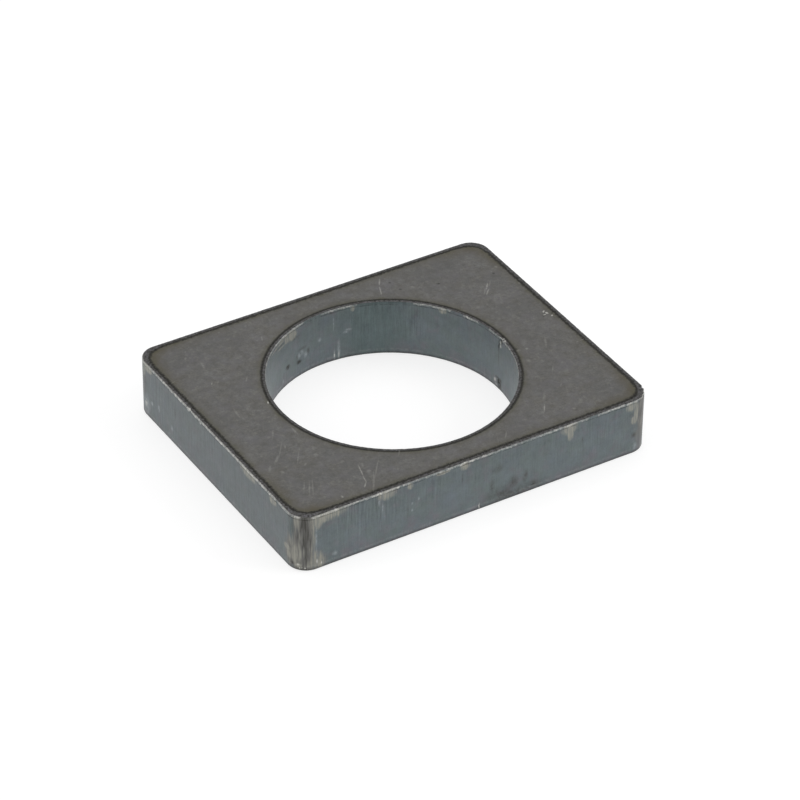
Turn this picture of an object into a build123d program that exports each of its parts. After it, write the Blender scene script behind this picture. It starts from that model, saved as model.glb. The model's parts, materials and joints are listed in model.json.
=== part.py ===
from build123d import *
import os

# Locking plate: one flat piece of hot-rolled steel, cut by laser, with a large round hole
# on its centre for a pin or shaft. The four flats keep it from turning in its seat.
# Millimetres. The origin is on the hole's axis, in the plane of the underside.
# +Z points up through the plate, and X runs along its long side.

# Driving dimensions
bore_diameter = 31.0        # clears a 30 mm pin by half a millimetre all round
end_wall = 9.5              # steel left between the hole and each short side
side_wall = 4.5             # steel left between the hole and each long side
plate_thickness = 8.0       # stock plate gauge
corner_radius = 2.5         # upright corners of the outline
entry_edge_radius = 0.06    # upper edges, almost crisp where the beam enters
exit_edge_radius = 0.3      # lower edges, dressed to take off the burr

# Worked out from the driving dimensions
plate_length = bore_diameter + 2 * end_wall
plate_width = bore_diameter + 2 * side_wall


def make_profile():
    """The shape the beam cuts: the outline with its rounded corners, less the round hole."""
    with BuildSketch(Plane.XY) as profile:
        RectangleRounded(plate_length, plate_width, corner_radius)
        Circle(bore_diameter / 2, mode=Mode.SUBTRACT)
    return profile.sketch


def make_plate():
    """The profile through the full gauge, with its upper and lower edges eased."""
    with BuildPart() as plate:
        add(make_profile())
        extrude(amount=plate_thickness)
        levels = plate.edges().group_by(Axis.Z)
        lower_edges = levels[0]
        upper_edges = levels[-1]
        fillet(upper_edges, entry_edge_radius)
        fillet(lower_edges, exit_edge_radius)
    return plate.part


def main():
    """Writes each piece of the plate to the parts folder."""
    os.makedirs("parts", exist_ok=True)
    export_step(make_plate(), "parts/locking_plate.step")


main()
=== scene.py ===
"""Locking plate: a laser-cut steel plate with one large round hole, on a plain pale stage."""

import json
import math
from collections import namedtuple

import bmesh
import bpy
from bpy.props import FloatProperty, FloatVectorProperty, PointerProperty
from bpy.types import Operator, Panel, PropertyGroup
from mathutils import Matrix, Vector


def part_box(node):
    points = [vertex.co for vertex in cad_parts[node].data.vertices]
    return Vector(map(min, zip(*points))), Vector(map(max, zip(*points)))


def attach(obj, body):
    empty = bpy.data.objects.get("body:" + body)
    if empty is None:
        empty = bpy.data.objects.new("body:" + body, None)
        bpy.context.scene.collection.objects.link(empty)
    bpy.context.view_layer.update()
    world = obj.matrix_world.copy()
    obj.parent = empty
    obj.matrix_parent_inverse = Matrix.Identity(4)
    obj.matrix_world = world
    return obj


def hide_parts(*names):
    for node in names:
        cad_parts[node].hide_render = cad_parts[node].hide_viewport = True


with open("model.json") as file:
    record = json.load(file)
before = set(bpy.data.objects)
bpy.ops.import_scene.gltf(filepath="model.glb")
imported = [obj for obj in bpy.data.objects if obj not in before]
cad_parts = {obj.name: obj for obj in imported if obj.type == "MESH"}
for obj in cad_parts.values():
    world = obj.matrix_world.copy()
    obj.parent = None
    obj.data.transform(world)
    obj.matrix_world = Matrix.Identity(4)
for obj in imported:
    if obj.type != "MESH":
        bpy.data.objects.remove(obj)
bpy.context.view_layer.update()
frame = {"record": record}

bl_info = {
    "name": "Locking plate",
    "version": (1, 0, 0),
    "blender": (4, 5, 0),
    "location": "View3D > Sidebar > Locking plate",
    "description": "A laser-cut steel locking plate and the pale stage that it is shown on",
    "category": "Add Mesh",
}

MM = 0.001
CAD_NODE = "locking_plate"
plate_low, plate_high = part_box(CAD_NODE)
bore_mount = next(mount for mount in frame["record"]["mounts"] if mount["name"] == "pin_bore")

# Radii in millimetres that the CAD source has and that the frame doesn't tell
CORNER_RADIUS = 2.5
UPPER_EDGE_RADIUS = 0.06
LOWER_EDGE_RADIUS = 0.3


def linear(hex_colour):
    """Turn an sRGB hex colour into the linear red, green, blue and alpha that Blender works in."""
    channels = [int(hex_colour[i:i + 2], 16) / 255 for i in (1, 3, 5)]
    return (*(c / 12.92 if c <= 0.04045 else ((c + 0.055) / 1.055) ** 2.4 for c in channels), 1.0)


def colour_setting(name, description, hex_colour):
    """Return a colour that a user can change, and that starts as the hex colour."""
    return FloatVectorProperty(
        name=name, description=description, subtype="COLOR", size=4, min=0, max=1,
        default=linear(hex_colour))


# What a user would change

class PlateSizes(PropertyGroup):
    """The plate's sizes. They start as the CAD model has them."""

    length: FloatProperty(
        name="Length", description="Long side of the plate", unit="LENGTH", precision=5,
        default=plate_high.x - plate_low.x)
    width: FloatProperty(
        name="Width", description="Short side of the plate", unit="LENGTH", precision=5,
        default=plate_high.y - plate_low.y)
    thickness: FloatProperty(
        name="Thickness", description="Gauge of the plate", unit="LENGTH", precision=5,
        default=plate_high.z - plate_low.z)
    bore_radius: FloatProperty(
        name="Hole radius", description="Radius of the round hole", unit="LENGTH", precision=5,
        default=bore_mount["dims"]["r_mm"] * MM)
    corner_radius: FloatProperty(
        name="Corner radius", description="Radius of the outline's upright corners",
        unit="LENGTH", precision=5, default=CORNER_RADIUS * MM)
    upper_edge: FloatProperty(
        name="Upper edge radius", description="Rounding of the edges on the upper face",
        unit="LENGTH", precision=5, default=UPPER_EDGE_RADIUS * MM)
    lower_edge: FloatProperty(
        name="Lower edge radius", description="Rounding of the edges on the underside",
        unit="LENGTH", precision=5, default=LOWER_EDGE_RADIUS * MM)


class PlateColours(PropertyGroup):
    """The colours of the plate's steel."""

    face: colour_setting("Rolled face", "Hot-rolled steel of the two faces", "#6d6d6c")
    face_dark: colour_setting("Rolled face, dark grain", "Darker grain of the two faces", "#5e5e5d")
    face_light: colour_setting(
        "Rolled face, light grain", "Lighter grain of the two faces", "#7c7c7b")
    straw: colour_setting("Straw tint", "Thin oxide that heat left beside the cut", "#5b564a")
    olive: colour_setting("Olive tint", "Thicker oxide right beside the scorched line", "#55533f")
    scorch: colour_setting("Scorched line", "Thick oxide where the heat tint ends", "#262520")
    rim: colour_setting("Rim", "Scaled rim between the scorched line and the cut", "#4b4a49")
    bare: colour_setting("Bare steel", "Steel worn or flaked bare of its oxide", "#939289")
    # Bright steel is also laid along the upper edges and nicks as painted highlight
    bright: colour_setting(
        "Bright steel", "Steel rubbed bright on edges and in scratches", "#d2d1cb")
    oxide: colour_setting(
        "Cut wall oxide", "Green-grey skin that the cut leaves on the walls", "#68736f")
    oxide_blue: colour_setting(
        "Cut wall oxide, blue", "Bluer parts of the skin on the walls", "#697179")
    oxide_lilac: colour_setting(
        "Cut wall oxide, lilac", "Thicker, lilac parts of the skin on the walls", "#716f75")
    # Laid as painted shade where the hole's wall faces the camera
    shaded_oxide_teal: colour_setting(
        "Cut wall oxide, teal", "Thickest, darkest teal parts of the skin", "#5b6a6a")
    oxide_pale: colour_setting(
        "Cut wall oxide, pale", "Rubbed, paler spots and lines of the skin", "#949b9e")
    # Also laid over the left wall as painted shade, darkening it
    grey_oxide_and_shade: colour_setting(
        "Cut wall oxide, grey", "Thinner, greyer parts of the skin on the walls", "#626566")
    worn_dark: colour_setting(
        "Worn corner, dark", "Grimy streaks of the upright corners", "#45433e")
    worn: colour_setting("Worn corner", "Handled steel of the upright corners", "#6c6b68")


class StageSettings(PropertyGroup):
    """The light, the floor and the camera."""

    sky: FloatProperty(
        name="Surrounding light", description="Strength of the even light from all round",
        min=0, default=0.62)
    left_lamp: FloatProperty(
        name="Left lamp", description="Power of the soft lamp at the left", min=0, unit="POWER",
        default=0.58)
    right_lamp: FloatProperty(
        name="Right lamp", description="Power of the soft lamp at the front right", min=0,
        unit="POWER", default=1.1)
    top_lamp: FloatProperty(
        name="Top lamp", description="Power of the soft lamp overhead", min=0, unit="POWER",
        default=0.5)
    floor_colour: colour_setting(
        "Floor", "Colour of the floor, which takes the plate's soft shadow", "#9f9f9f")
    lens: FloatProperty(
        name="Lens", description="Focal length of the camera on a 36 mm sensor", min=1,
        unit="CAMERA", default=178.824)


# Selecting and shaping in edit mode

TINY = 1e-7
LONG_SIDE_STEPS = (16, 15)
SHORT_SIDE_STEPS = (16, 12)
CORNER_STEPS = 24
OUTLINE_STEPS = 2 * math.prod(LONG_SIDE_STEPS) + 2 * math.prod(SHORT_SIDE_STEPS) + 4 * CORNER_STEPS
UPPER_EDGE_STEPS = 2
LOWER_EDGE_STEPS = 3
WALL_ROWS = 24
FACE_RINGS = 16
SHARP_ANGLE = math.radians(70)
SHORTEST_SPOKE = 1.5 * MM


def edit_mesh():
    """Return the mesh in edit mode as bmesh geometry."""
    return bmesh.from_edit_mesh(bpy.context.edit_object.data)


def select_edges(wanted):
    """Select only the edges for which wanted(edge) is true."""
    bpy.ops.mesh.select_all(action="DESELECT")
    for edge in edit_mesh().edges:
        if wanted(edge):
            edge.select_set(True)
    bmesh.update_edit_mesh(bpy.context.edit_object.data)


def round_edges(upper, radius, steps, thickness):
    """Round the sharp edges at the top of the plate, or at its bottom."""
    def wanted(edge):
        sharp = edge.calc_face_angle(0.0) > SHARP_ANGLE
        heights = [vert.co.z for vert in edge.verts]
        return sharp and (min(heights) > thickness / 2 if upper else max(heights) < thickness / 2)
    select_edges(wanted)
    bpy.ops.mesh.bevel(offset=radius, segments=steps, profile=0.5, affect="EDGES", clamp_overlap=False)


def model_plate(sizes):
    """Model the plate from its outline and hole, closed all round and in even four-sided faces."""
    half_length, half_width = sizes.length / 2, sizes.width / 2
    bpy.ops.object.select_all(action="DESELECT")
    bpy.ops.mesh.primitive_plane_add(size=1, location=(0, 0, sizes.thickness))
    bpy.ops.object.transform_apply(location=True)
    plate = bpy.context.active_object
    bpy.ops.object.mode_set(mode="EDIT")
    bpy.ops.mesh.select_mode(type="EDGE")

    # The outline: a rectangle with its corners rounded and its straight sides divided
    bpy.ops.transform.resize(value=(sizes.length, sizes.width, 1), center_override=(0, 0, 0))
    bpy.ops.mesh.bevel(
        affect="VERTICES", offset=sizes.corner_radius, segments=CORNER_STEPS, profile=0.5)
    bpy.ops.mesh.delete(type="ONLY_FACE")
    for axis, half, steps in ((1, half_width, LONG_SIDE_STEPS), (0, half_length, SHORT_SIDE_STEPS)):
        for pieces in steps:
            select_edges(lambda edge: all(abs(abs(vert.co[axis]) - half) < TINY for vert in edge.verts))
            bpy.ops.mesh.subdivide(number_cuts=pieces - 1)

    # The hole has as many points as the outline, so the face between them is four-sided all over
    bpy.ops.mesh.primitive_circle_add(
        vertices=OUTLINE_STEPS, radius=sizes.bore_radius, fill_type="NOTHING",
        location=(0, 0, sizes.thickness))
    bpy.ops.mesh.select_all(action="SELECT")
    bpy.ops.mesh.bridge_edge_loops(type="SINGLE", number_cuts=0)

    # The walls and the underside
    bpy.ops.mesh.select_all(action="SELECT")
    bpy.ops.mesh.extrude_region_move(TRANSFORM_OT_translate={"value": (0, 0, -sizes.thickness)})
    bpy.ops.mesh.select_all(action="SELECT")
    bpy.ops.mesh.normals_make_consistent(inside=False)
    round_edges(True, sizes.upper_edge, UPPER_EDGE_STEPS, sizes.thickness)
    round_edges(False, sizes.lower_edge, LOWER_EDGE_STEPS, sizes.thickness)

    # Rows up the walls and rings across the faces, fine enough to hold dents
    select_edges(lambda edge: abs(edge.verts[0].co.z - edge.verts[1].co.z) > sizes.thickness / 2)
    bpy.ops.mesh.subdivide(number_cuts=WALL_ROWS - 1)
    select_edges(lambda edge: abs(edge.verts[0].co.z - edge.verts[1].co.z) < TINY
                 and edge.calc_length() > SHORTEST_SPOKE)
    bpy.ops.mesh.subdivide(number_cuts=FACE_RINGS - 1)
    bpy.ops.object.mode_set(mode="OBJECT")
    return plate


# The baked map: both faces one above the other, with the walls in strips inside and beside them

MAP_NAME = "OFBake"
MAP_GAP = 0.38 * MM
HOLE_STRIPS = 4
OUTER_STRIPS = 3
FLAT_NORMAL = 0.999


def outline_run(x, y, sizes):
    """Return how far along the outline a wall point is, anticlockwise from the right side's middle."""
    radius = sizes.corner_radius
    side_end, top_end = sizes.width / 2 - radius, sizes.length / 2 - radius
    quarter = side_end + radius * math.pi / 2 + top_end
    across, up = abs(x), abs(y)
    if up <= side_end:
        run = up
    elif across <= top_end:
        run = quarter - across
    else:
        run = side_end + radius * math.atan2(up - side_end, across - top_end)
    if x < 0 <= y:
        run = 2 * quarter - run
    elif x < 0:
        run = 2 * quarter + run
    elif y < 0:
        run = 4 * quarter - run
    return run, 4 * quarter


def outline_inset(x, y, sizes):
    """Return how far in from the outline a point is."""
    radius = sizes.corner_radius
    across = abs(x) - (sizes.length / 2 - radius)
    up = abs(y) - (sizes.width / 2 - radius)
    return radius - math.hypot(max(across, 0), max(up, 0)) - min(max(across, up), 0)


def map_place(face, vert, sizes):
    """Return where a corner of a face lies on the map, in metres from the map's lower left."""
    x, y, z = vert.co
    across_centre = MAP_GAP + sizes.length / 2
    centres = [MAP_GAP + sizes.width / 2, 2 * MAP_GAP + 1.5 * sizes.width]
    if face.normal.z > FLAT_NORMAL:
        return across_centre + x, centres[0] + y
    if face.normal.z < -FLAT_NORMAL:
        return across_centre - x, centres[1] + y
    middle = face.calc_center_median()
    in_hole = middle.xy.length < sizes.bore_radius + sizes.lower_edge + MM
    inset = vert.co.xy.length - sizes.bore_radius if in_hole else outline_inset(x, y, sizes)
    height = z + inset if z > sizes.thickness / 2 else z - inset
    if in_hole:
        run, total = (math.atan2(y, x) % math.tau) * sizes.bore_radius, math.tau * sizes.bore_radius
        middle_run = (math.atan2(middle.y, middle.x) % math.tau) * sizes.bore_radius
        strips = HOLE_STRIPS
    else:
        run, total = outline_run(x, y, sizes)
        middle_run = outline_run(middle.x, middle.y, sizes)[0]
        strips = OUTER_STRIPS
    run = middle_run + (run - middle_run + total / 2) % total - total / 2
    strip = int(middle_run / total * strips)
    run -= strip * total / strips
    tall = sizes.thickness + sizes.lower_edge + sizes.upper_edge + MAP_GAP
    if in_hole:
        centre = centres[strip // 2]
        level = (strip % 2 - 1) * tall + height + sizes.lower_edge + MAP_GAP / 2
        return across_centre + total / strips / 2 - run, centre + level
    left = 2 * MAP_GAP + sizes.length + strip * tall
    return left + height + sizes.lower_edge, MAP_GAP + run


def lay_out_map(plate, sizes):
    """Give the plate its baked map, and its first material to the faces and its second to the walls."""
    side = 2 * sizes.width + 3 * MAP_GAP
    geometry = bmesh.new()
    geometry.from_mesh(plate.data)
    layer = geometry.loops.layers.uv.get(MAP_NAME) or geometry.loops.layers.uv.new(MAP_NAME)
    for face in geometry.faces:
        face.material_index = 0 if abs(face.normal.z) > FLAT_NORMAL else 1
        for loop in face.loops:
            place = map_place(face, loop.vert, sizes)
            loop[layer].uv = (place[0] / side, place[1] / side)
    geometry.to_mesh(plate.data)
    geometry.free()


# Relief: the walls' upright furrows, the uneven edges, and the dents

FURROW_PITCH = 0.55 * MM
FURROW_DEPTH = 0.02 * MM
FURROW_STRETCH = 30
EDGE_CHIP_PITCH = 0.5 * MM
EDGE_CHIP_DEPTH = 0.035 * MM

Dent = namedtuple("Dent", "place push reach")

DENTS = (
    Dent((23.4, 1.4, 8.0), (0.0, 0.0, -0.12), 0.55),
    Dent((23.8, 0.5, 8.0), (0.0, 0.0, -0.05), 0.35),
    Dent((15.5, -0.4, 7.9), (0.16, 0.0, -0.12), 0.7),
    Dent((15.5, 0.0, 7.0), (0.1, 0.0, 0.0), 0.6),
    Dent((15.5, -0.5, 1.0), (0.16, 0.0, 0.0), 0.5),
    Dent((-16.1, 2.5, 8.0), (-0.05, 0.0, -0.08), 0.4),
    Dent((-1.9, -20.0, 7.9), (0.0, 0.12, -0.08), 0.6),
    Dent((9.7, -20.0, 7.9), (0.0, 0.1, -0.06), 0.35),
    Dent((0.2, -20.0, 0.5), (0.0, 0.12, 0.0), 0.5),
    Dent((-25.0, 6.1, 7.9), (0.12, 0.0, -0.1), 0.45),
    Dent((-25.0, 12.2, 7.9), (0.08, 0.0, -0.05), 0.4),
    Dent((-25.0, -14.9, 7.9), (0.12, 0.0, -0.1), 0.7),
    Dent((24.1, -19.4, 7.9), (-0.07, 0.1, -0.1), 0.45),
    Dent((24.7, -18.8, 7.9), (-0.1, 0.06, -0.12), 0.4),
    Dent((24.9, -18.0, 7.9), (-0.1, 0.0, -0.08), 0.4),
    Dent((23.0, -20.0, 7.9), (0.0, 0.1, -0.08), 0.4),
    Dent((20.6, -20.0, 7.9), (0.0, 0.08, -0.06), 0.35),
    Dent((-25.0, 3.3, 7.9), (0.08, 0.0, -0.04), 0.4),
    Dent((-20.0, -20.0, 1.35), (0.0, 0.06, 0.0), 0.35),
    Dent((4.6, 14.8, 3.1), (0.02, 0.08, 0.0), 0.6),
)


def push_in(push, depth, name, group, pitch, stretch):
    """Press a group of points inwards by uneven amounts, with a texture that is stretched upright."""
    texture = bpy.data.textures.new(name, "CLOUDS")
    texture.noise_scale = pitch
    texture.noise_depth = 1
    stretcher = bpy.data.objects.new(name, None)
    bpy.context.scene.collection.objects.link(stretcher)
    stretcher.scale = (1, 1, stretch)
    bpy.context.view_layer.update()
    press = push.modifiers.new(name, "DISPLACE")
    press.texture = texture
    press.texture_coords = "OBJECT"
    press.texture_coords_object = stretcher
    press.mid_level = 1.0
    press.strength = depth
    press.vertex_group = group
    bpy.ops.object.modifier_apply(modifier=name)
    bpy.data.objects.remove(stretcher)
    bpy.data.textures.remove(texture)


def wear_plate(plate, sizes):
    """Give the walls their furrows and the edges their chips and dents. All of it goes inwards."""
    walls = plate.vertex_groups.new(name="walls")
    upper_edges = plate.vertex_groups.new(name="upper_edges")
    on_walls, on_upper_edges = [], []
    for vert in plate.data.vertices:
        flat = abs(vert.normal.z) > FLAT_NORMAL
        if vert.co.z > sizes.thickness - sizes.upper_edge - TINY and not flat:
            on_upper_edges.append(vert.index)
        elif not flat:
            on_walls.append(vert.index)
    walls.add(on_walls, 1.0, "REPLACE")
    upper_edges.add(on_upper_edges, 1.0, "REPLACE")
    push_in(plate, FURROW_DEPTH, "furrows", "walls", FURROW_PITCH, FURROW_STRETCH)
    push_in(plate, EDGE_CHIP_DEPTH, "chips", "upper_edges", EDGE_CHIP_PITCH, 1)
    plate.vertex_groups.clear()

    bpy.ops.object.mode_set(mode="EDIT")
    bpy.ops.mesh.select_mode(type="VERT")
    for dent in DENTS:
        place = Vector(dent.place) * MM
        bpy.ops.mesh.select_all(action="DESELECT")
        nearest = min(edit_mesh().verts, key=lambda vert: (vert.co - place).length_squared)
        nearest.select_set(True)
        bmesh.update_edit_mesh(plate.data)
        bpy.ops.transform.translate(
            value=Vector(dent.push) * MM, use_proportional_edit=True,
            proportional_edit_falloff="SMOOTH", proportional_size=dent.reach * MM)
    bpy.ops.object.mode_set(mode="OBJECT")


# Marks on the plate, among them painted highlights and shade.
# Each is an oval in space: millimetres, and degrees about the upright

Mark = namedtuple("Mark", "centre half_sizes turn")

HALF_LENGTH = (plate_high.x - plate_low.x) / (2 * MM)
HALF_WIDTH = (plate_high.y - plate_low.y) / (2 * MM)
THICKNESS = (plate_high.z - plate_low.z) / MM
BORE_RADIUS = bore_mount["dims"]["r_mm"]
MARK_DEPTH = 0.8
RAGGED_REACH = 1.4


def mark(x, y, z, along, across, up, turn):
    """An oval mark, drawn larger than it looks because its rim is ragged away."""
    return Mark((x, y, z), (along * RAGGED_REACH, across * RAGGED_REACH, up * RAGGED_REACH), turn)


def scratch(start, end, half_width=0.11):
    """A scratch on the upper face, from start to end."""
    line = Vector(end) - Vector(start)
    middle = (Vector(end) + Vector(start)) / 2
    turn = math.degrees(math.atan2(line.y, line.x))
    return mark(middle.x, middle.y, THICKNESS, line.length / 2, half_width, MARK_DEPTH, turn)


def spot(x, y, half_x=0.16, half_y=0.12, turn=0):
    """A spot on the upper face."""
    return mark(x, y, THICKNESS, half_x, half_y, MARK_DEPTH, turn)


def on_front(x, z, along, up):
    """A mark on the front wall."""
    return mark(x, -HALF_WIDTH, z, along, MARK_DEPTH, up, 0)


def on_back(x, z, along, up):
    """A mark on the back wall."""
    return mark(x, HALF_WIDTH, z, along, MARK_DEPTH, up, 0)


def on_left(y, z, along, up):
    """A mark on the left wall."""
    return mark(-HALF_LENGTH, y, z, along, MARK_DEPTH, up, 90)


def on_right(y, z, along, up):
    """A mark on the right wall."""
    return mark(HALF_LENGTH, y, z, along, MARK_DEPTH, up, 90)


def on_corner(angle, z, along, up):
    """A mark on the front left corner, by the angle at which it faces."""
    facing = Vector((math.cos(math.radians(angle)), math.sin(math.radians(angle))))
    centre = Vector((CORNER_RADIUS - HALF_LENGTH, CORNER_RADIUS - HALF_WIDTH))
    place = centre + CORNER_RADIUS * facing
    return mark(place.x, place.y, z, along, MARK_DEPTH / 2, up, angle + 90)


def in_hole(angle, z, along, up):
    """A mark on the hole's wall, by its angle round the hole."""
    x, y = BORE_RADIUS * math.cos(math.radians(angle)), BORE_RADIUS * math.sin(math.radians(angle))
    return mark(x, y, z, along, MARK_DEPTH, up, angle + 90)


def several(maker, rows):
    """Make a mark from each row, which holds what the maker takes."""
    return tuple(maker(*row) for row in rows)


CLEAR_SCRATCHES = (
    *several(scratch, (
        ((-13.2, -14.0), (-13.8, -16.2)), ((-13.8, -16.0), (-14.1, -17.4)),
        ((-14.1, -17.3), (-14.8, -18.1)), ((12.6, -14.9), (11.6, -16.4)),
        ((9.4, 18.5), (8.5, 17.1)), ((8.5, 17.1), (7.7, 15.2)), ((20.7, 10.7), (19.6, 9.4), 0.14),
        ((20.1, 9.5), (19.1, 8.5), 0.12),
    )),
    *several(spot, (
        (-18.0, -18.3, 0.18, 0.25), (7.8, 15.5, 0.2, 0.14, 60), (17.1, -4.0, 0.25, 0.2),
        (-20.1, 9.3, 0.3, 0.1, 50),
    )),
)

FAINT_SCRATCHES = (
    *several(scratch, (
        ((-20.3, 3.6), (-20.6, 1.5), 0.16), ((-15.5, 8.6), (-16.5, 7.3)),
        ((-9.8, 15.1), (-10.3, 14.0)), ((-18.7, -6.1), (-19.0, -6.7)),
        ((-19.2, -13.4), (-20.8, -16.4)), ((-19.7, -13.6), (-21.2, -16.2)),
        ((-20.4, -13.6), (-21.2, -14.9)), ((-12.6, -13.7), (-12.9, -14.6), 0.2),
        ((-12.6, -15.3), (-13.0, -16.0), 0.25), ((-10.4, -14.0), (-13.0, -17.4)),
        ((-12.6, -16.6), (-14.3, -19.3), 0.16), ((-12.2, -15.8), (-13.6, -18.4)),
        ((-16.2, -3.2), (-16.3, -5.0), 0.16), ((17.9, -8.7), (17.0, -9.9)),
        ((16.9, -12.2), (16.2, -12.9)), ((21.2, 10.9), (20.4, 9.9)), ((19.9, 10.0), (18.8, 8.6)),
        ((5.6, -17.3), (4.7, -18.4)), ((-17.5, -7.5), (-19.4, -10.2), 0.09),
        ((-18.6, -5.2), (-20.6, -8.0), 0.09), ((-8.1, -14.8), (-7.3, -13.8)),
        ((23.1, -5.95), (23.5, -5.9)), ((23.7, -5.9), (24.5, -5.8)),
        ((-20.2, -7.3), (-21.7, -8.8), 0.2), ((-22.2, -8.7), (-23.1, -10.0), 0.22),
        ((20.4, -3.0), (19.3, -5.0), 0.18), ((14.2, -12.6), (12.8, -14.4), 0.22),
        ((-19.0, 14.2), (-19.3, 12.5), 0.2), ((-18.3, -2.6), (-19.4, -4.3), 0.14),
    )),
    *several(spot, (
        (16.0, -3.8, 0.3, 0.25), (-20.3, 15.6, 0.35, 0.18, 50), (-19.6, 16.9, 0.2, 0.12, 50),
        (-19.3, 9.2, 0.3, 0.1, 50), (-14.0, 18.4), (-10.4, 18.0, 0.3, 0.2, 60),
        (-24.0, 12.0, 0.4, 0.1, 20), (12.0, 14.7, 0.3, 0.3), (12.7, 14.3), (22.4, 12.6),
        (24.1, 8.6, 0.15, 0.3), (23.5, 13.2, 0.3, 0.3), (-21.6, -10.6, 0.25, 0.35),
        (-18.5, -10.6, 0.35, 0.2, 30), (-16.5, -9.6, 0.3, 0.3), (-14.5, -12.4, 0.3, 0.25),
        (-12.6, -15.6, 0.25, 0.3), (16.7, -6.4, 0.3, 0.2), (15.9, -6.3, 0.3, 0.4),
        (17.3, -7.2, 0.35, 0.25), (15.2, -17.5, 0.25, 0.25),
    )),
)

# Spots at nicks in the upper edge, partly steel rubbed bare and partly painted glint
BARE_AND_GLINTING_NICKS = several(spot, (
    (-24.9, 6.2, 0.16, 0.22), (23.05, 1.15, 0.28, 0.14, 20), (23.5, 1.3, 0.14, 0.26, 20),
    (23.3, 1.75, 0.26, 0.12, 40), (23.75, 0.5, 0.2, 0.12, 40), (-16.1, 2.5, 0.24, 0.12, 70),
    (15.7, -0.75, 0.22, 0.18), (15.65, -1.3, 0.25, 0.14, 60), (24.05, -19.35, 0.22, 0.12, 45),
    (24.5, -18.75, 0.18, 0.1, 60), (24.8, -18.0, 0.1, 0.16),
))

DARK_SPOTS = several(spot, (
    (10.4, 15.1, 0.25, 0.25), (10.0, 17.0, 0.22, 0.22), (15.2, 13.7, 0.3, 0.2),
    (22.5, 12.1, 0.25, 0.25), (22.75, 0.9, 0.35, 0.2, 40), (24.0, 0.9, 0.25, 0.15, 40),
    (15.9, -3.4, 0.2, 0.3),
))

FLAKED_PATCHES = (
    *several(on_front, (
        (-20.8, 7.7, 2.3, 1.0), (-22.4, 7.2, 0.8, 1.2), (-22.4, 1.2, 0.8, 1.6),
        (-22.2, 1.4, 0.6, 1.0), (-22.0, 0.7, 0.5, 0.6),
    )),
    on_corner(207, 2.4, 0.42, 1.4),
    on_corner(219, 0.9, 0.4, 0.3),
    *several(on_front, (
        (-12.8, 7.6, 1.3, 0.9), (-9.6, 7.4, 0.4, 0.5), (-5.0, 7.6, 0.9, 0.25),
        (-1.95, 7.45, 0.7, 0.55), (12.9, 7.4, 1.1, 0.8), (13.1, 6.5, 0.45, 0.9),
        (22.0, 7.3, 0.8, 0.7), (22.4, 5.1, 0.4, 0.6), (22.7, 6.2, 0.3, 1.5),
    )),
    *several(on_left, (
        (16.9, 7.6, 1.3, 0.6), (17.6, 6.6, 0.3, 0.8), (-8.3, 7.5, 1.8, 0.6), (-14.1, 7.3, 0.8, 0.5),
        (-17.2, 2.8, 0.5, 0.4), (-17.7, 2.0, 0.3, 0.5),
    )),
    *several(in_hole, (
        (124, 7.3, 2.2, 0.14), (120.5, 6.65, 1.4, 0.14), (117, 7.6, 2.6, 0.2),
        (112.4, 7.15, 1.0, 0.8), (116, 7.0, 0.5, 0.5), (77.3, 7.45, 0.3, 0.4),
        (34.5, 7.6, 0.5, 0.45), (225, 7.6, 2.0, 0.5), (300, 7.8, 1.2, 0.4),
    )),
    on_right(9.0, 7.6, 1.6, 0.7),
    on_right(-13.0, 7.7, 1.0, 0.5),
    *several(on_back, (
        (11.0, 7.7, 1.8, 0.6), (-16.0, 7.5, 1.2, 0.9), (-3.0, 7.8, 0.8, 0.4),
    )),
)

PALE_SPOTS = (
    *several(on_front, (
        (-19.95, 1.5, 0.35, 0.35), (-9.3, 4.7, 0.14, 0.2), (-8.4, 5.1, 0.14, 0.25),
        (-9.3, 3.7, 0.12, 0.2), (-22.5, 4.8, 0.14, 2.0), (-13.9, 6.6, 0.16, 0.5),
        (-13.4, 5.6, 0.12, 0.8), (22.75, 1.1, 0.3, 0.5),
    )),
    *several(on_left, (
        (14.0, 3.1, 0.3, 0.5), (15.8, 2.8, 0.3, 0.3), (10.7, 2.2, 0.3, 0.4), (17.2, 2.0, 0.8, 1.4),
    )),
    *several(in_hole, (
        (107, 3.3, 0.32, 0.4), (105.3, 3.5, 0.36, 0.42), (102.9, 2.9, 0.32, 0.45),
        (94.4, 4.1, 0.26, 0.34), (80.8, 4.1, 0.34, 0.2), (79.4, 4.4, 0.45, 0.2),
        (84.2, 1.6, 0.24, 1.6), (86.4, 1.0, 0.16, 0.8), (86.9, 5.8, 0.07, 1.0),
        (119.5, 1.2, 0.2, 0.3),
    )),
)

WHITE_MARKS = (
    *several(on_front, (
        (0.2, 0.6, 0.1, 0.5), (-22.4, 1.3, 0.14, 0.4), (-21.8, 0.9, 0.12, 0.3),
        (-2.55, 7.8, 0.3, 0.18), (9.7, 7.85, 0.2, 0.15), (18.6, 7.88, 0.3, 0.12),
        (20.6, 7.9, 0.12, 0.1), (-17.0, 7.9, 0.12, 0.1), (-16.1, 7.9, 0.14, 0.12),
        (-12.4, 7.9, 0.16, 0.1),
    )),
    *several(in_hole, (
        (86.4, 0.95, 0.1, 0.6), (84.2, 0.9, 0.08, 0.6), (-3.5, 7.9, 0.45, 0.25),
        (-1.6, 7.3, 0.25, 0.3), (-1.9, 6.8, 0.2, 0.3), (2.0, 1.15, 0.3, 0.3),
        (0.8, 0.6, 0.25, 0.15), (106.3, 7.85, 0.25, 0.12),
    )),
    *several(on_corner, (
        (217, 0.95, 0.25, 0.14), (223, 0.5, 0.1, 0.16), (229, 0.55, 0.12, 0.1),
        (238, 0.5, 0.14, 0.1),
    )),
    *several(on_left, (
        (17.3, 2.2, 0.3, 0.7), (6.4, 7.7, 0.35, 0.15), (3.4, 7.6, 0.3, 0.15),
    )),
)

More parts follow.
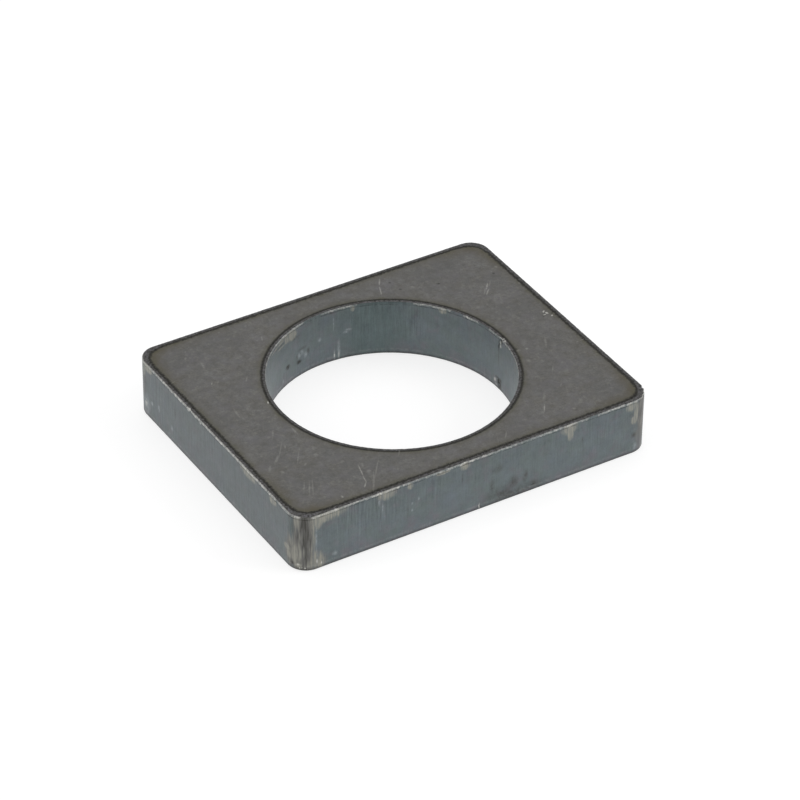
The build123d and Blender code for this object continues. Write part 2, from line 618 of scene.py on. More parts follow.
DARK_STAINS = (
    *several(on_front, (
        (5.0, 0.8, 4.4, 0.9), (3.1, 1.4, 2.2, 1.0), (2.6, 5.3, 0.8, 0.7), (6.7, 2.7, 0.4, 1.0),
        (5.0, 2.2, 0.7, 1.1), (2.0, 2.5, 0.4, 1.5), (7.8, 1.1, 1.0, 0.6), (-9.9, 3.7, 0.1, 0.9),
        (-13.7, 4.8, 0.08, 0.8), (-2.3, 5.6, 0.1, 0.8), (14.9, 4.9, 0.12, 0.5),
        (22.3, 6.0, 0.6, 0.3), (22.6, 2.9, 0.5, 0.5),
    )),
    *several(on_left, (
        (17.6, 5.0, 0.5, 1.5), (17.6, 1.0, 0.3, 0.3), (9.8, 5.0, 0.15, 0.8),
    )),
    *several(in_hole, (
        (-0.5, 5.2, 0.12, 1.6), (105, 4.1, 0.8, 0.25), (101.2, 3.3, 0.25, 0.6),
        (108.6, 3.2, 0.3, 0.5), (121.5, 7.0, 0.8, 0.16), (110.5, 6.35, 0.9, 0.25),
        (126, 7.2, 0.7, 0.2), (87.5, 7.55, 1.4, 0.18),
    )),
)

PITS = (
    *several(in_hole, (
        (-0.3, 6.8, 0.16, 0.8), (-2.6, 7.5, 0.3, 0.3), (-1.7, 1.1, 0.55, 0.42),
        (-2.6, 1.6, 0.3, 0.4), (-1.0, 1.4, 0.35, 0.45), (-2.3, 0.7, 0.4, 0.35),
        (0.3, 1.75, 0.35, 0.2), (115.5, 2.75, 0.44, 0.36), (107.5, 2.35, 0.48, 0.32),
    )),
    on_front(7.9, 0.95, 0.4, 0.12),
    on_left(-18.4, 1.0, 0.4, 0.3),
)

# Where the upper edge is painted brightest: partly steel rubbed bare, partly painted highlight where
# the edge faces the lamps
BARE_AND_HIGHLIT_EDGES = (
    *several(in_hole, (
        (165, 7.95, 2.4, 0.6), (157, 7.95, 2.4, 0.6), (149, 7.95, 2.4, 0.6), (141, 7.95, 2.4, 0.6),
        (132, 7.95, 2.4, 0.5), (115, 7.9, 3.8, 0.4), (83, 7.9, 2.4, 0.4), (36, 7.9, 2.0, 0.5),
        (46, 7.9, 0.8, 0.2), (21, 7.9, 0.9, 0.2), (-8, 7.95, 2.4, 0.6), (-16, 7.95, 2.4, 0.6),
        (-24, 7.95, 2.4, 0.5),
    )),
    on_corner(215, 7.95, 0.6, 0.3),
    *several(on_front, (
        (-20.8, 7.9, 1.8, 0.3), (-14.6, 7.9, 4.4, 0.3), (-0.5, 7.9, 2.6, 0.25),
        (20.5, 7.9, 2.2, 0.25),
    )),
    on_left(0.0, 7.9, 18.0, 0.4),
)

# Where the painted highlight along the upper edge is taken away
UNLIT_EDGES = (
    on_corner(240, 7.9, 0.6, 0.6),
    *several(in_hole, (
        (62, 7.9, 3.6, 0.6), (27, 7.9, 0.8, 0.4), (11, 7.9, 0.8, 0.3), (99, 7.9, 1.2, 0.3),
    )),
    on_front(16.4, 7.9, 0.5, 0.2),
)

# Where the upper edge gets a painted highlight as if it were rounder: a bright lip on the face, and no
# dark lip on the wall
ROUND_EDGE_HIGHLIGHTS = (
    on_left(0.0, 8.0, 22.0, 0.5),
    on_corner(205, 8.0, 1.4, 0.5),
)

STRIATED_WALLS = (
    in_hole(62, 4.0, 8.0, 7.0),
    on_front(-16.0, 5.5, 5.0, 4.0),
)

# Painted shade, tinted teal: the hole's wall where it faces the camera, and a patch of the front left
# corner
SHADED_TEAL_WALLS = (
    in_hole(67, 4.5, 6.2, 9.0),
    on_corner(200, 6.0, 0.7, 1.4),
)

# Greyer oxide on the left wall and near the front right corner, also darker as painted shade on the
# left wall
GREY_AND_SHADED_WALLS = (
    on_left(0.0, 4.0, 26.0, 9.0),
    on_front(21.9, 4.9, 1.6, 1.2),
)

WORN_DARK = several(on_corner, (
    (241, 6.2, 0.6, 2.8), (253, 4.2, 0.12, 2.2), (242, 2.4, 0.3, 1.6), (243, 7.1, 0.45, 1.0),
    (198, 1.1, 0.45, 0.5), (192, 6.8, 0.5, 1.6),
))

WORN_LIGHT = (
    *several(on_corner, (
        (216, 6.9, 0.42, 1.4), (224, 5.2, 0.12, 0.7), (197, 4.0, 0.4, 0.9), (206, 2.6, 0.45, 1.5),
        (218, 2.2, 0.5, 1.5), (226, 2.5, 0.3, 1.0), (235, 2.9, 0.14, 0.7), (255, 0.9, 0.6, 0.6),
        (249, 4.2, 0.08, 1.4), (263, 4.4, 0.34, 3.4), (184, 2.8, 0.6, 0.5), (190, 1.9, 0.25, 0.5),
        (219, 0.9, 0.4, 0.4), (225, 0.5, 0.25, 0.25),
    )),
    on_front(-21.9, 1.1, 0.8, 0.8),
)

WORN_CORNERS = (
    on_corner(234, 4.3, 2.3, 7.5),
    on_corner(190, 2.8, 1.4, 1.9),
    on_front(-21.9, 1.1, 1.0, 1.1),
    on_front(23.8, 5.5, 0.8, 4.0),
)


# Materials

def add(tree, kind, *inputs, named=None, stops=None, **settings):
    """Add a node with its settings and feed its inputs, in order or by name.

    An input is a value, a socket, or a node, which stands for its first output in use.
    The stops are the positions and colours of a colour ramp.
    """
    node = tree.nodes.new("ShaderNode" + kind)
    for name, value in settings.items():
        setattr(node, name, value)
    if stops:
        elements = node.color_ramp.elements
        elements.remove(elements[-1])
        elements[0].position = stops[0][0]
        for position, _ in stops[1:]:
            elements.new(position)
        for element, (_, colour) in zip(elements, stops):
            element.color = colour
    in_use = [socket for socket in node.inputs if socket.enabled]
    feeds = list(zip(in_use, inputs))
    feeds += [(node.inputs[name], value) for name, value in (named or {}).items()]
    for socket, value in feeds:
        if isinstance(value, bpy.types.Node):
            value = next(output for output in value.outputs if output.enabled)
        if isinstance(value, bpy.types.NodeSocket):
            tree.links.new(value, socket)
        else:
            socket.default_value = value
    return node


def start_material(name):
    """Add an empty material, and return it with its tree and the point on the plate in millimetres."""
    material = bpy.data.materials.new(name)
    material.use_nodes = True
    tree = material.node_tree
    tree.nodes.clear()
    place = add(tree, "TexCoord").outputs["Object"]
    point = add(tree, "VectorMath", place, operation="SCALE", named={"Scale": 1 / MM})
    return material, tree, point


def finish_material(tree, colour, metallic, roughness, height, relief):
    """Join the patterns to the shader. The relief is the bump's full height in metres."""
    bump = add(tree, "Bump", named={"Strength": 1.0, "Distance": relief, "Height": height.outputs[0]})
    shader = add(tree, "BsdfPrincipled", named={
        "Base Color": colour, "Metallic": metallic, "Roughness": roughness, "Normal": bump})
    add(tree, "OutputMaterial", shader)


# Nearly all the values of a noise texture lie between these two
NOISE_LOW, NOISE_HIGH = 0.3, 0.7


def mottle(tree, point, size, low, high, detail=2.0, roughness=0.6, stretch=(1, 1, 1)):
    """Return cloudy values from low to high, in blotches of about the size in millimetres."""
    scale = [1 / (size * part) for part in stretch]
    scaled = add(tree, "VectorMath", point, scale, operation="MULTIPLY")
    clouds = add(tree, "TexNoise", scaled, 1.0, detail, roughness)
    return add(tree, "MapRange", clouds, NOISE_LOW, NOISE_HIGH, low, high)


def edge_distances(tree, point, sizes):
    """Return how far a point is in from the outline and out from the hole, and how near a corner."""
    radius = sizes.corner_radius / MM
    corner_centre = (sizes.length / 2 / MM - radius, sizes.width / 2 / MM - radius, 0)
    flat = add(tree, "VectorMath", point, (1, 1, 0), operation="MULTIPLY")
    folded = add(tree, "VectorMath", flat, operation="ABSOLUTE")
    past = add(tree, "VectorMath", folded, corner_centre, operation="SUBTRACT")
    outside = add(tree, "VectorMath", past, (0, 0, 0), operation="MAXIMUM")
    outside = add(tree, "VectorMath", outside, operation="LENGTH")
    parts = add(tree, "SeparateXYZ", past)
    inside = add(tree, "Math", parts.outputs["X"], parts.outputs["Y"], operation="MAXIMUM")
    inside = add(tree, "Math", inside, 0.0, operation="MINIMUM")
    signed = add(tree, "Math", outside, inside, operation="ADD")
    from_outline = add(tree, "Math", radius, signed, operation="SUBTRACT")
    from_axis = add(tree, "VectorMath", flat, operation="LENGTH")
    from_hole = add(tree, "Math", from_axis, sizes.bore_radius / MM, operation="SUBTRACT")
    corner = add(tree, "Math", parts.outputs["X"], parts.outputs["Y"], operation="MINIMUM")
    return from_outline, from_hole, corner


def marked(tree, point, marks, rough, start=0.25, full=0.5):
    """Return 1 inside the marks and 0 outside. The rough value makes their rims ragged."""
    depth = None
    for each in marks:
        turn = (0, 0, math.radians(each.turn))
        local = add(tree, "Mapping", point, each.centre, turn, each.half_sizes, vector_type="TEXTURE")
        ball = add(tree, "TexGradient", local, gradient_type="SPHERICAL").outputs["Fac"]
        depth = add(tree, "Math", depth, ball, operation="MAXIMUM") if depth else ball
    depth = add(tree, "Math", depth, rough, operation="MULTIPLY")
    return add(tree, "MapRange", depth, start, full, 0.0, 1.0)


def lay_over(tree, colour, over, mask, strength=1.0):
    """Lay one colour over another where the mask is 1."""
    if strength != 1.0:
        mask = add(tree, "Math", mask, strength, operation="MULTIPLY", use_clamp=True)
    return add(tree, "Mix", mask, colour, over, data_type="RGBA")


# How hairlines are drawn out, per millimetre, and how high the noise has to be for one to show
HAIRLINE_DRAWN = (0.25, 4.0, 1.0)
HAIRLINE_START, HAIRLINE_FULL = 0.66, 0.86


def hairlines(tree, point, turn, strength):
    """Return faint straight handling scratches at one angle: long, thin and sparse."""
    turned = add(tree, "Mapping", point, named={"Rotation": (0, 0, math.radians(turn))})
    stretched = add(tree, "VectorMath", turned, HAIRLINE_DRAWN, operation="MULTIPLY")
    streaks = add(tree, "TexNoise", stretched, 1.0, 1.0, 0.5)
    return add(tree, "MapRange", streaks, HAIRLINE_START, HAIRLINE_FULL, 0.0, strength)


# Widths in millimetres of what the beam's heat left on the faces
OUTLINE_RIM = 1.0
HOLE_RIM = 0.84
CORNER_EXTRA = 0.45
OLIVE_REACH = 1.5
STRAW_REACH = 2.9
# Width in millimetres of the painted highlight on the face along the upper edge
LIP_HIGHLIGHT_WIDTH = 0.17

# Sizes in millimetres of the faces' patterns. Real mill grain is finer than a pixel, so it is drawn
# coarse enough to show.
GRAIN_SIZE = 1.0
CLOUD_SIZE = 4.5
BEAD_SIZE = 0.38
FACE_RELIEF = 0.015


def face_material(sizes, colours):
    """Hot-rolled mild steel: a dull warm grey with a fine even grain, tinted by heat beside the cut.

    The rim is scaled dark and beaded, it ends in a thin scorched line, and straw runs in from there.
    """
    material, tree, point = start_material("hot_rolled_mild_steel")
    from_outline, from_hole, corner = edge_distances(tree, point, sizes)

    # Grain: fine pits, with faint warm clouds over them
    grain = mottle(tree, point, GRAIN_SIZE, 0.0, 1.0, 3.0, 1.0)
    clouds = mottle(tree, point, CLOUD_SIZE, -0.25, 0.7, 4.0, 0.7)
    colour = add(tree, "ValToRGB", grain, stops=(
        (0.0, colours.face_dark), (0.5, colours.face), (1.0, colours.face_light)))
    colour = lay_over(tree, colour, colours.straw, mottle(tree, point, 1.9, 0.0, 0.42, 3.0, 0.8))
    colour = lay_over(tree, colour, colours.face_dark, clouds)
    cool = mottle(tree, point, 2.6, -0.5, 0.6, 3.0, 0.7)
    colour = lay_over(tree, colour, colours.oxide_lilac, cool, 0.6)
    pale = mottle(tree, point, 0.7, -1.3, 0.7, 3.0, 0.7)
    colour = lay_over(tree, colour, colours.bare, pale, 0.35)

    # Straw tint, strongest in the corners, where the beam slows
    hole_part = add(tree, "Math", from_hole, OUTLINE_RIM / HOLE_RIM, operation="MULTIPLY")
    rim = add(tree, "Math", from_outline, hole_part, operation="MINIMUM")
    ragged = add(tree, "MapRange", from_hole, 1.0, 2.5, 0.45, 1.0)
    waver = mottle(tree, point, 0.34, -0.14, 0.14, 3.0, 0.7)
    ragged = add(tree, "Math", ragged, waver, operation="MULTIPLY")
    rim = add(tree, "Math", rim, ragged, operation="ADD")
    extra = add(tree, "MapRange", corner, -1.2, 1.3, 0.0, CORNER_EXTRA)
    rim = add(tree, "Math", rim, extra, operation="SUBTRACT")
    cornered = add(tree, "MapRange", corner, -7.0, 0.0, 0.25, 0.95)
    strength = add(tree, "Math", cornered, mottle(tree, point, 3.0, 0.4, 1.2), operation="MULTIPLY")
    faded = add(
        tree, "MapRange", rim, OUTLINE_RIM, STRAW_REACH, 1.0, 0.0, interpolation_type="SMOOTHSTEP")
    faded = add(tree, "Math", faded, strength, operation="MULTIPLY", use_clamp=True)
    colour = lay_over(tree, colour, colours.straw, faded)
    fringe = add(tree, "MapRange", rim, OUTLINE_RIM, OLIVE_REACH, 0.45, 0.0)
    fringe = add(tree, "Math", fringe, mottle(tree, point, 1.2, 0.2, 1.2), operation="MULTIPLY")
    colour = lay_over(tree, colour, colours.olive, fringe)

    # The rim with its beads of scale, and the scorched line that it ends in
    rim_colour = add(tree, "ValToRGB", rim, stops=(
        (0.40, colours.rim), (0.52, colours.scorch), (0.68, colours.scorch),
        (0.95, (*colours.scorch[:3], 0.0))))
    beads = mottle(tree, point, BEAD_SIZE, 0.2, 1.85, 3.0, 0.7)
    beaded = add(tree, "VectorMath", rim_colour, beads, operation="MULTIPLY")
    grit = add(tree, "MapRange", rim, 0.55, 0.15, 0.0, 1.0)
    scattered = mottle(tree, point, 0.3, -1.0, 1.0, 2.0, 0.6)
    grit = add(tree, "Math", grit, scattered, operation="MULTIPLY", use_clamp=True)
    beaded = lay_over(tree, beaded, colours.oxide_lilac, grit, 0.8)
    colour = lay_over(tree, colour, beaded, rim_colour.outputs["Alpha"])

    # Scratches, spots and hairlines
    lines = hairlines(tree, point, 55, 0.2)
    for turn in (115, 5):
        lines = add(tree, "Math", lines, hairlines(tree, point, turn, 0.15), operation="MAXIMUM")
    uneven = mottle(tree, point, 0.3, 0.6, 1.8)
    clear_marks = marked(tree, point, CLEAR_SCRATCHES, uneven, 0.2, 1.0)
    faint_marks = marked(tree, point, FAINT_SCRATCHES, uneven, 0.2, 1.0)
    faint_marks = add(tree, "Math", faint_marks, 0.4, operation="MULTIPLY")
    rubbed = add(tree, "Math", lines, faint_marks, operation="MAXIMUM")
    rubbed = add(tree, "Math", rubbed, clear_marks, operation="MAXIMUM")
    colour = lay_over(tree, colour, colours.bright, rubbed, 0.36)
    specks = marked(tree, point, DARK_SPOTS, uneven, 0.2, 1.2)
    colour = lay_over(tree, colour, colours.scorch, specks, 0.7)
    # Nicks and a lip along the upper edge, partly bare steel and partly painted highlight
    bare_and_glinting_nicks = marked(tree, point, BARE_AND_GLINTING_NICKS, uneven, 0.2, 0.8)
    lip = add(tree, "MapRange", from_outline, LIP_HIGHLIGHT_WIDTH, 0.0, 0.0, 1.3)
    round_edge_highlight = marked(tree, point, ROUND_EDGE_HIGHLIGHTS, 0.5, 0.0, 0.2)
    patchy = mottle(tree, point, 0.6, -0.7, 0.7)
    round_edge_highlight = add(tree, "Math", round_edge_highlight, patchy, operation="ADD", use_clamp=True)
    lip = add(tree, "Math", lip, round_edge_highlight, operation="MULTIPLY")
    lip = add(tree, "Math", lip, uneven, operation="MULTIPLY", use_clamp=True)
    bare_and_glinting_nicks = add(tree, "Math", bare_and_glinting_nicks, lip, operation="MAXIMUM")
    colour = lay_over(tree, colour, colours.bright, bare_and_glinting_nicks, 0.7)
    rubbed = add(tree, "Math", rubbed, bare_and_glinting_nicks, operation="MAXIMUM")

    metallic = add(tree, "MapRange", rubbed, 0.0, 1.0, 0.65, 1.0)
    roughness = mottle(tree, point, 0.8, 0.44, 0.56, 3.0, 0.8)
    height = add(tree, "Math", grain, rubbed, operation="SUBTRACT")
    scale = add(tree, "Math", beads, rim_colour.outputs["Alpha"], operation="MULTIPLY")
    height = add(tree, "Math", height, scale, operation="ADD")
    finish_material(tree, colour, metallic, roughness, height, FACE_RELIEF * MM)
    return material


# Sizes in millimetres of the walls' patterns, and how far they are drawn out upright
FINE_FURROW = 0.26
STREAK_WIDTH = 0.22
CRUMB_SIZE = 0.4
WALL_RELIEF = 0.012
FURROW_DRAWN = (1, 1, 16)
STREAK_DRAWN = (1, 1, 12)

# Heights in millimetres of the lines along the walls' lower and upper edges
# The painted shade along the walls' foot is solid up to the first height and gone at the second
FOOT_SHADE_SOLID = 0.25
FOOT_SHADE_END = 0.55
LOW_LINE = 0.75
LOW_LINE_HALF = 0.14
# A broken dark line under the upper edge, partly scale and partly painted shade
SCALE_AND_SHADE_LINE = THICKNESS - 0.38
SCALE_AND_SHADE_HALF = 0.08
# Heights of the bright band under the upper edge, partly rubbed steel and partly painted highlight
BRIGHT_START = THICKNESS - 0.32
BRIGHT_FULL = THICKNESS - 0.16
LIP_START = THICKNESS - 0.05
LIP_FULL = THICKNESS - 0.01


def wall_material(sizes, colours):
    """Laser-cut mild steel: a blue-grey oxide skin over fine upright furrows, flaked bare in places.

    The upper edges are bright in short lengths, partly rubbed bare and partly painted highlight,
    and the upright corners are streaked from handling.
    """
    material, tree, point = start_material("laser_cut_mild_steel")
    corner = edge_distances(tree, point, sizes)[2]
    height_up = add(tree, "SeparateXYZ", point).outputs["Z"]
    streaks = mottle(tree, point, STREAK_WIDTH, -0.15, 1.15, 2.0, 0.6, STREAK_DRAWN)
    crumbs = mottle(tree, point, CRUMB_SIZE, 0.1, 1.4, 4.0, 0.75, (1, 1, 1.6))

    # Oxide skin: slow changes of hue, broken by the furrows that the beam drags down
    hues = mottle(tree, point, 2.4, 0.2, 0.8, 4.0, 0.75)
    colour = lay_over(tree, colours.oxide, colours.oxide_blue, hues)
    lilac = add(tree, "MapRange", height_up, 2.6, 0.6, 0.0, 0.4)
    clouds = mottle(tree, point, 1.7, -0.7, 0.6, 3.0, 0.7)
    lilac = add(tree, "Math", clouds, lilac, operation="ADD", use_clamp=True)
    colour = lay_over(tree, colour, colours.oxide_lilac, lilac)
    # Greyer skin, darkened as painted shade on the left wall
    grey = marked(tree, point, GREY_AND_SHADED_WALLS, mottle(tree, point, 1.5, 0.4, 1.2, 3.0, 0.7), 0.0, 0.7)
    colour = lay_over(tree, colour, colours.grey_oxide_and_shade, grey, 0.45)
    bands = mottle(tree, point, 0.6, 0.5, 1.1, 3.0, 0.7, STREAK_DRAWN)
    # Painted shade: darker teal where the hole's wall faces the camera
    teal = marked(tree, point, SHADED_TEAL_WALLS, bands, 0.0, 0.7)
    colour = lay_over(tree, colour, colours.shaded_oxide_teal, teal, 0.75)
    furrows = mottle(tree, point, FINE_FURROW, -1.0, 1.0, 3.0, 0.7, FURROW_DRAWN)
    striated = marked(tree, point, STRIATED_WALLS, 1.0, 0.0, 0.6)
    contrast = mottle(tree, point, 3.0, 0.03, 0.17)
    contrast = add(tree, "Math", striated, 0.12, contrast, operation="MULTIPLY_ADD")
    crisper = add(tree, "MapRange", height_up, 1.5, 4.0, 0.4, 1.1)
    contrast = add(tree, "Math", contrast, crisper, operation="MULTIPLY")
    # Painted shade: the walls darker towards the top and lighter towards the bottom, for the light that
    # the floor throws up
    upper = add(tree, "MapRange", height_up, 3.8, 6.6, 1.03, 0.93)
    shade = add(tree, "Math", furrows, contrast, upper, operation="MULTIPLY_ADD")
    shade = add(tree, "Math", mottle(tree, point, 1.4, -0.15, 0.15, 5.0, 0.9), shade, operation="ADD")
    colour = add(tree, "VectorMath", colour, shade, operation="MULTIPLY")
    blots = mottle(tree, point, 0.7, 0.1, 1.6, 4.0, 0.75, (1, 1, 1.5))
    for marks, rough, full, over, strength in (
            (DARK_STAINS, blots, 1.0, colours.worn_dark, 0.65),
            (PALE_SPOTS, crumbs, 0.7, colours.oxide_pale, 0.8),
            (PITS, crumbs, 0.6, colours.scorch, 0.95)):
        mask = marked(tree, point, marks, rough, 0.05, full)
        colour = lay_over(tree, colour, over, mask, strength)

    # Upright corners, handled dark and streaked with light wear
    general = add(tree, "MapRange", corner, -0.9, 0.8, 0.0, 0.45)
    heavy = marked(tree, point, WORN_CORNERS, 1.0, 0.0, 0.7)
    wear = add(tree, "Math", heavy, 0.6, general, operation="MULTIPLY_ADD")
    wear = add(tree, "Math", streaks, 0.45, wear, operation="MULTIPLY_ADD")
    wear = add(tree, "MapRange", wear, 0.5, 1.05, 0.0, 0.95)
    tone = add(tree, "Math", streaks, 0.6, 0.12, operation="MULTIPLY_ADD")
    for marks, change in ((WORN_LIGHT, 0.42), (WORN_DARK, -0.24)):
        mask = marked(tree, point, marks, 1.0, 0.0, 0.7)
        tone = add(tree, "Math", mask, change, tone, operation="MULTIPLY_ADD")
    streaked = add(tree, "ValToRGB", tone, stops=(
        (0.0, colours.worn_dark), (0.45, colours.worn), (1.0, colours.bare)))
    colour = lay_over(tree, colour, streaked, wear)

    # Flaked patches with the furrows showing in them
    ragged = add(tree, "Math", streaks, 0.5, crumbs, operation="MULTIPLY_ADD")
    ragged = add(tree, "Math", ragged, 0.25, operation="ADD")
    flaked = marked(tree, point, FLAKED_PATCHES, ragged, 0.15, 0.65)
    bars = add(tree, "MapRange", streaks, 0.2, 0.8, 0.5, 1.0)
    flaked = add(tree, "Math", flaked, bars, operation="MULTIPLY")
    colour = lay_over(tree, colour, colours.bare, flaked)

    # Lower edge: a faint bright line over a dark one, which is painted shade along the rounded foot
    low_line = add(tree, "Math", height_up, LOW_LINE, LOW_LINE_HALF, operation="COMPARE")
    broken = mottle(tree, point, 0.5, -0.6, 1.4, 3.0, 0.8)
    low_line = add(tree, "Math", low_line, broken, operation="MULTIPLY", use_clamp=True)
    colour = lay_over(tree, colour, colours.bright, low_line, 0.1)
    waver = mottle(tree, point, 0.5, -0.12, 0.12, 3.0, 0.8)
    foot_shade = add(tree, "Math", height_up, waver, operation="ADD")
    foot_shade = add(tree, "MapRange", foot_shade, FOOT_SHADE_END, FOOT_SHADE_SOLID, 0.0, 0.6)
    colour = lay_over(tree, colour, colours.scorch, foot_shade)

    # Upper edge: bright in short lengths under a dark lip, partly rubbed bare and partly painted
    # highlight, with a broken dark line below it, partly scale and partly painted shade
    scale = add(tree, "Math", height_up, SCALE_AND_SHADE_LINE, SCALE_AND_SHADE_HALF, operation="COMPARE")
    scaled = mottle(tree, point, 1.0, -0.4, 1.4, 4.0, 0.8)
    scale = add(tree, "Math", scale, scaled, operation="MULTIPLY", use_clamp=True)
    colour = lay_over(tree, colour, colours.scorch, scale, 0.55)
    uneven = mottle(tree, point, 0.3, -0.12, 0.12, 3.0, 0.8)
    uneven = add(tree, "Math", uneven, height_up, operation="ADD")
    edge = add(tree, "MapRange", uneven, BRIGHT_START, BRIGHT_FULL, 0.0, 1.0)
    # Painted highlight: where the edge is painted as if rounder, the dark lip is left off
    round_edge_highlight = marked(tree, point, ROUND_EDGE_HIGHLIGHTS, 1.0, 0.0, 0.1)
    lip = add(tree, "MapRange", height_up, LIP_FULL, LIP_START, 0.4, 1.0)
    lip = add(tree, "Math", lip, round_edge_highlight, operation="MAXIMUM")
    colour = lay_over(tree, colours.rim, colour, lip)
    edge = add(tree, "Math", edge, lip, operation="MULTIPLY")
    lengths = mottle(tree, point, 0.9, 0.25, 0.95, 3.0, 0.7)
    forced = marked(tree, point, BARE_AND_HIGHLIT_EDGES, 1.0, 0.0, 0.5)
    lengths = add(tree, "Math", lengths, forced, operation="MAXIMUM")
    lengths = add(tree, "Math", lengths, mottle(tree, point, 0.5, 0.3, 1.1), operation="MULTIPLY")
    unlit_edge = marked(tree, point, UNLIT_EDGES, 1.0, 0.0, 0.5)
    lengths = add(tree, "Math", lengths, unlit_edge, operation="SUBTRACT", use_clamp=True)
    edge = add(tree, "Math", edge, lengths, operation="MULTIPLY")
    sparkle = mottle(tree, point, 0.3, 0.2, 1.5, 2.0, 0.6)
    edge = add(tree, "Math", edge, sparkle, operation="MULTIPLY", use_clamp=True)
    white = marked(tree, point, WHITE_MARKS, crumbs, 0.15, 0.8)
    rubbed = add(tree, "Math", edge, white, operation="MAXIMUM")
    colour = lay_over(tree, colour, colours.bright, rubbed, 0.85)

    # Bare steel and the painted highlight band both count as bare for metallic and relief
    bare_and_highlit = add(tree, "Math", rubbed, flaked, operation="MAXIMUM")
    metallic = add(tree, "MapRange", bare_and_highlit, 0.0, 1.0, 0.6, 0.9)
    roughness = add(tree, "MapRange", furrows, -1.0, 1.0, 0.38, 0.5)
    height = add(tree, "Math", furrows, bare_and_highlit, operation="SUBTRACT")
    finish_material(tree, colour, metallic, roughness, height, WALL_RELIEF * MM)
    return material


# The piece and the stage

SMOOTH_ANGLE = math.radians(60)


class MESH_OT_locking_plate(Operator):
    """Model the steel plate, wear it and give it its materials"""

    bl_idname = "mesh.locking_plate"
    bl_label = "Locking plate"

    def execute(self, context):
        sizes, colours = context.scene.plate_sizes, context.scene.plate_colours
        plate = model_plate(sizes)
        plate.name = plate.data.name = "plate_steel"
        plate.data.materials.append(face_material(sizes, colours))
        plate.data.materials.append(wall_material(sizes, colours))
        lay_out_map(plate, sizes)
        wear_plate(plate, sizes)
        bpy.ops.object.shade_smooth_by_angle(angle=SMOOTH_ANGLE)
        weighted = plate.modifiers.new("weighted normals", "WEIGHTED_NORMAL")
        weighted.keep_sharp = True
        bpy.ops.object.modifier_apply(modifier=weighted.name)
        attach(plate, "root")
        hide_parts(CAD_NODE)
        return {"FINISHED"}


CAMERA_PLACE = (-207.913, -337.624, 291.158)
CAMERA_AIM = (0.851, -0.559, 4.0)
CAMERA_ROLL = 0.661
NEAREST_SEEN = 10
SENSOR_WIDTH = 36.0

Lamp = namedtuple("Lamp", "name place side power")


def add_camera(stage):
    """Add the camera. Its places are in millimetres and its roll in degrees."""
    camera = bpy.data.objects.new("camera", bpy.data.cameras.new("camera"))
    bpy.context.scene.collection.objects.link(camera)
    camera.data.sensor_width = SENSOR_WIDTH
    camera.data.lens = stage.lens
    camera.data.clip_start = NEAREST_SEEN * MM
    place = Vector(CAMERA_PLACE) * MM
    aim = (Vector(CAMERA_AIM) * MM - place).to_track_quat("-Z", "Y").to_matrix().to_4x4()
    roll = Matrix.Rotation(math.radians(CAMERA_ROLL), 4, "Z")
    camera.matrix_world = Matrix.Translation(place) @ aim @ roll
    bpy.context.scene.camera = camera


def add_lamp(lamp):
    """Add a soft square lamp that looks at the plate. Its place and side are in metres."""
    light = bpy.data.lights.new(lamp.name, "AREA")
    light.size = lamp.side
    light.energy = lamp.power
    holder = bpy.data.objects.new(lamp.name, light)
    bpy.context.scene.collection.objects.link(holder)
    holder.location = lamp.place
    holder.rotation_euler = (-Vector(lamp.place)).to_track_quat("-Z", "Y").to_euler()


def camera_sees(tree):
    """Return 1 for the camera and for rays that reflect or pass light, and 0 for light itself."""
    path = add(tree, "LightPath")
    camera, glossy = path.outputs["Is Camera Ray"], path.outputs["Is Glossy Ray"]
    seen = add(tree, "Math", camera, glossy, operation="MAXIMUM")
    return add(tree, "Math", seen, path.outputs["Is Transmission Ray"], operation="MAXIMUM")


FLOOR_SIDE = 3.0
FLOOR_DROP = 0.03 * MM
FLOOR_GLOW = 0.74


def floor_material(stage):
    """Matt white board: pale all over, with the plate's soft shadow, and clear from below."""
    material, tree, _ = start_material("matt_white_board")
    board = add(tree, "BsdfDiffuse", stage.floor_colour)
    glow = add(tree, "Math", camera_sees(tree), FLOOR_GLOW, operation="MULTIPLY")
    shine = add(tree, "Emission", (1, 1, 1, 1), glow)
    board = add(tree, "AddShader", board, shine)
    side = add(tree, "NewGeometry").outputs["Backfacing"]
    board = add(tree, "MixShader", side, board, add(tree, "BsdfTransparent"))
    add(tree, "OutputMaterial", board)
    return material


def light_world(stage):
    """Light the scene evenly from all round, and show white behind it."""
    world = bpy.data.worlds.new("studio")
    bpy.context.scene.world = world
    world.use_nodes = True
    tree = world.node_tree
    tree.nodes.clear()
    path = add(tree, "LightPath").outputs["Is Camera Ray"]
    strength = add(tree, "Mix", path, stage.sky, 1.0, data_type="FLOAT")
    shine = add(tree, "Background", (1, 1, 1, 1), strength)
    add(tree, "OutputWorld", shine)


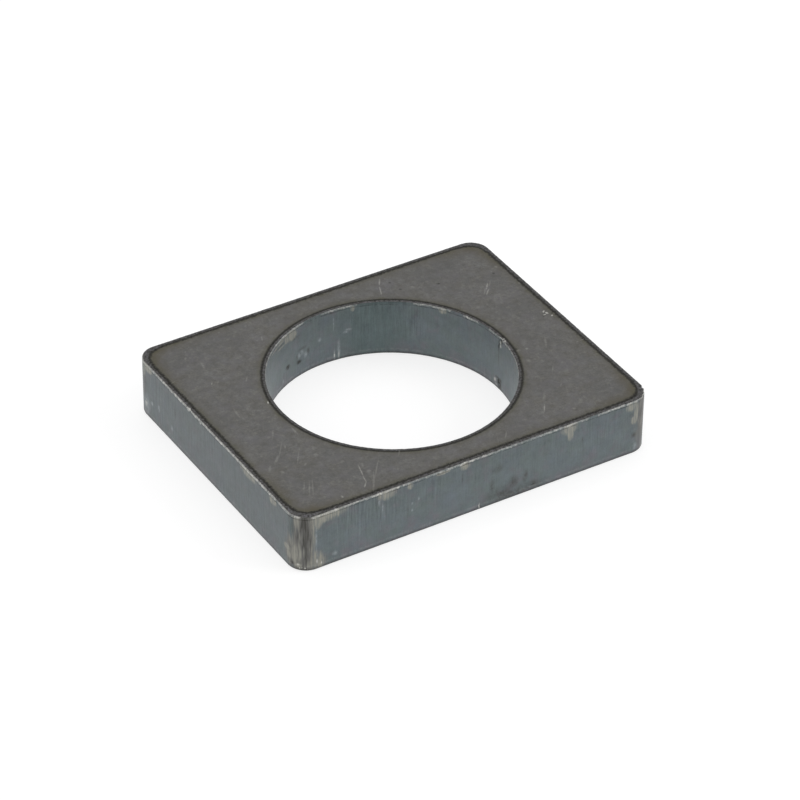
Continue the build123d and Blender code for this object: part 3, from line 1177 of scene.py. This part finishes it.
class SCENE_OT_locking_plate_stage(Operator):
    """Add the pale floor, the soft studio light and the camera"""

    bl_idname = "scene.locking_plate_stage"
    bl_label = "Pale stage"

    def execute(self, context):
        stage = context.scene.plate_stage
        bpy.ops.object.select_all(action="DESELECT")
        bpy.ops.mesh.primitive_plane_add(size=FLOOR_SIDE, location=(0, 0, -FLOOR_DROP))
        floor = context.active_object
        floor.name = "floor"
        floor.data.materials.append(floor_material(stage))
        light_world(stage)
        for lamp in (
                Lamp("left lamp", (-0.5, 0.05, 0.3), 0.35, stage.left_lamp),
                Lamp("right lamp", (0.42, -0.25, 0.3), 0.35, stage.right_lamp),
                Lamp("top lamp", (0.05, 0.25, 0.6), 0.5, stage.top_lamp)):
            add_lamp(lamp)
        context.scene.view_settings.view_transform = "Standard"
        add_camera(stage)
        return {"FINISHED"}


class VIEW3D_PT_locking_plate(Panel):
    """The plate's sizes, colours and stage, and the buttons that make them"""

    bl_label = "Locking plate"
    bl_space_type = "VIEW_3D"
    bl_region_type = "UI"
    bl_category = "Locking plate"

    def draw(self, context):
        for settings, maker in (
                (context.scene.plate_sizes, None),
                (context.scene.plate_colours, MESH_OT_locking_plate),
                (context.scene.plate_stage, SCENE_OT_locking_plate_stage)):
            column = self.layout.column()
            for name in settings.__annotations__:
                column.prop(settings, name)
            if maker:
                column.operator(maker.bl_idname)


CLASSES = (
    PlateSizes, PlateColours, StageSettings,
    MESH_OT_locking_plate, SCENE_OT_locking_plate_stage, VIEW3D_PT_locking_plate,
)


def register():
    """Register the classes and hang their settings on the scene."""
    for cls in CLASSES:
        bpy.utils.register_class(cls)
    bpy.types.Scene.plate_sizes = PointerProperty(type=PlateSizes)
    bpy.types.Scene.plate_colours = PointerProperty(type=PlateColours)
    bpy.types.Scene.plate_stage = PointerProperty(type=StageSettings)


def unregister():
    """Take the settings off the scene and unregister the classes."""
    del bpy.types.Scene.plate_stage
    del bpy.types.Scene.plate_colours
    del bpy.types.Scene.plate_sizes
    for cls in reversed(CLASSES):
        bpy.utils.unregister_class(cls)


def main():
    """Make the plate and its stage."""
    register()
    bpy.ops.mesh.locking_plate()
    bpy.ops.scene.locking_plate_stage()


if __name__ == "__main__":
    main()
